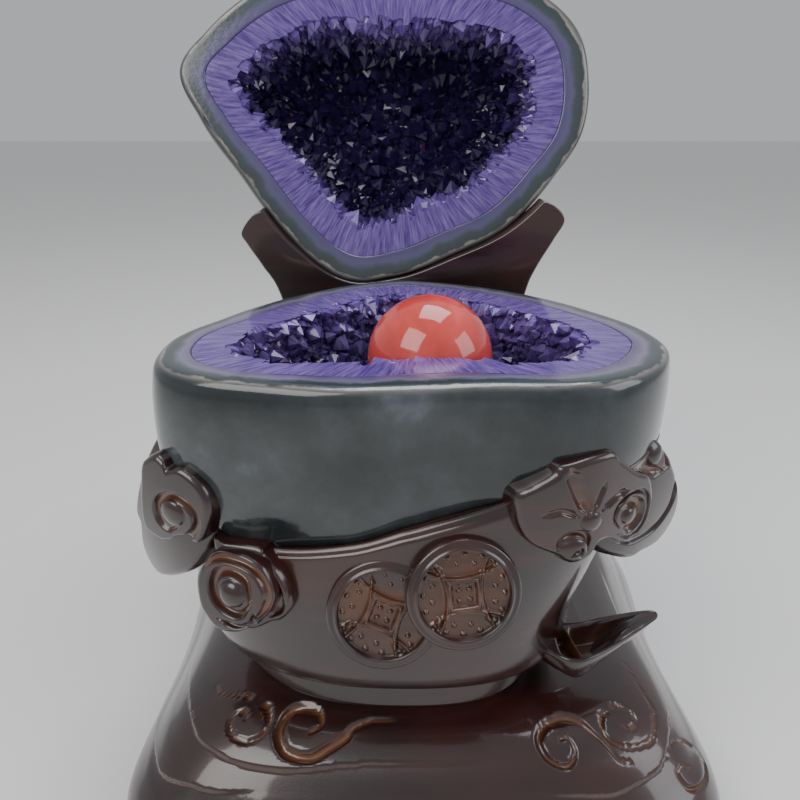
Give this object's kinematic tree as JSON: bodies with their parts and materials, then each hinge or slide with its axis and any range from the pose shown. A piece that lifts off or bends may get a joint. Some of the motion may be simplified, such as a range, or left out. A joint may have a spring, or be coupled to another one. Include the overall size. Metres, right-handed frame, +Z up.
{
  "type": "amethyst geode",
  "caption": "Amethyst geode sawn in two and shown open: the lower half in a carved wooden bowl on a flared stand, the upper half upright behind it in a notched board, with a ball in the hollow.",
  "frame": {"origin": "on the table, under the middle of the stand's flat foot", "axes": "+Z up, -Y to the front that the hollows and the coins face, +X to the right as seen from the front"},
  "size_m": [0.3885, 0.4393, 0.5296],
  "materials": {
    "wood": "dark red-brown carved hardwood under a glossy lacquer",
    "agate_skin": "polished dark green-grey stone with pale agate eyes, sawn flat at the rim",
    "amethyst": "natural crystal faces, deep violet, glassy",
    "coral_stone": "high polish, coral red with faint pale streaks"
  },
  "bodies": {
    "root": {"stand_base": "wood", "stand_bowl": "wood", "lid_rest": "wood", "lower_geode": "agate_skin", "lower_crystals": "amethyst", "upper_geode": "agate_skin", "upper_crystals": "amethyst", "ball": "coral_stone"}
  },
  "joints": []
}
